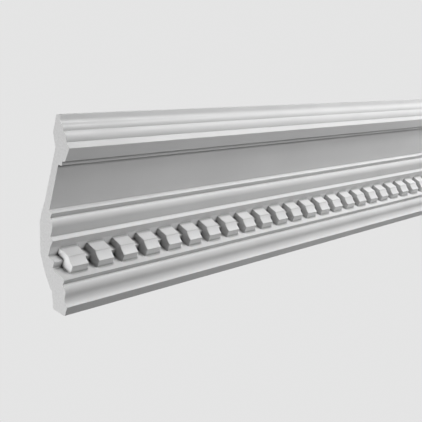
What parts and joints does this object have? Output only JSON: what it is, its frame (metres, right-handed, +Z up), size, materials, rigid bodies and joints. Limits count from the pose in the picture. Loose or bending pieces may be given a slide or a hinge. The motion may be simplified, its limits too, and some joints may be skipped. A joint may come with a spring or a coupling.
{
  "type": "dentil cornice moulding length",
  "caption": "One-metre length of dentil cornice moulding that fills the angle of a wall and a ceiling, cast in one piece with a hollow back.",
  "frame": {"origin": "centre of the wall seat, halfway along the length", "axes": "+X along the moulding, +Y out of the wall seat into the wall, +Z up to the ceiling"},
  "size_m": [1, 0.1962, 0.0655],
  "materials": {
    "primed_polyurethane": "matte white factory primer on rigid polyurethane foam"
  },
  "bodies": {
    "root": {"cornice_length": "primed_polyurethane"}
  },
  "joints": []
}
